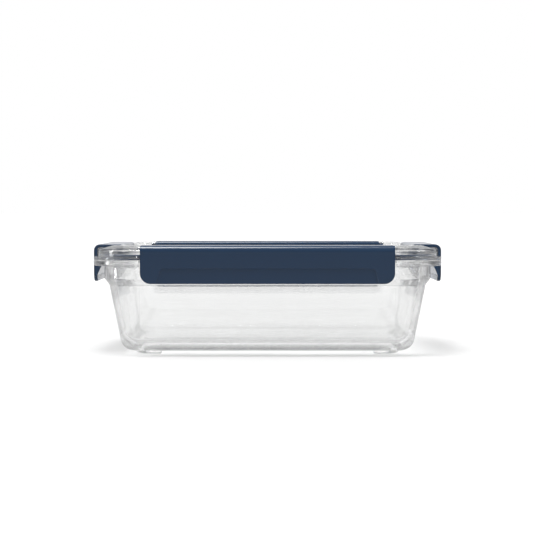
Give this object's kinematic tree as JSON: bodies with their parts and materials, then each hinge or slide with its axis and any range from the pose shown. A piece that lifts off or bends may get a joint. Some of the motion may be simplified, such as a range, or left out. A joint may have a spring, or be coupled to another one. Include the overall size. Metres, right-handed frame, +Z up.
{
  "type": "glass storage container",
  "caption": "Rectangular clear glass food storage container with a clear locking lid, a navy silicone gasket and a navy snap latch on each side.",
  "frame": {"origin": "on the surface the feet stand on, under the centre of the closed container", "axes": "+X along the long side to the right, -Y out of the front latch, +Z up"},
  "size_m": [0.222, 0.168, 0.0693],
  "materials": {
    "glass": "clear, polished",
    "lid_plastic": "clear, polished",
    "silicone": "matt",
    "latch_plastic": "satin, fine moulded grain"
  },
  "bodies": {
    "base": {"glass_base": "glass"},
    "cover": {"lid": "lid_plastic", "gasket": "silicone"},
    "front_latch": {"latch_front": "latch_plastic"},
    "back_latch": {"latch_back": "latch_plastic"},
    "left_latch": {"latch_left": "latch_plastic"},
    "right_latch": {"latch_right": "latch_plastic"}
  },
  "joints": [
    {"name": "lid_lift", "type": "slide", "parent": "base", "child": "cover", "axis": [0, 0, 1], "range_m": [0, 0.012]},
    {"name": "front_latch_hinge", "type": "hinge", "parent": "cover", "child": "front_latch", "pos_m": [0, -0.0675, 0.067], "axis": [-1, 0, 0], "range_deg": [0, 110.01]},
    {"name": "back_latch_hinge", "type": "hinge", "parent": "cover", "child": "back_latch", "pos_m": [0, 0.0675, 0.067], "axis": [1, 0, 0], "range_deg": [0, 110.01]},
    {"name": "left_latch_hinge", "type": "hinge", "parent": "cover", "child": "left_latch", "pos_m": [-0.0945, 0, 0.067], "axis": [0, 1, 0], "range_deg": [0, 110.01]},
    {"name": "right_latch_hinge", "type": "hinge", "parent": "cover", "child": "right_latch", "pos_m": [0.0945, 0, 0.067], "axis": [0, -1, 0], "range_deg": [0, 110.01]}
  ],
  "couplings": [
    {"joint": "front_latch_hinge", "follows": "lid_lift", "rad_per_m": 160},
    {"joint": "back_latch_hinge", "follows": "lid_lift", "rad_per_m": 160},
    {"joint": "left_latch_hinge", "follows": "lid_lift", "rad_per_m": 160},
    {"joint": "right_latch_hinge", "follows": "lid_lift", "rad_per_m": 160}
  ]
}
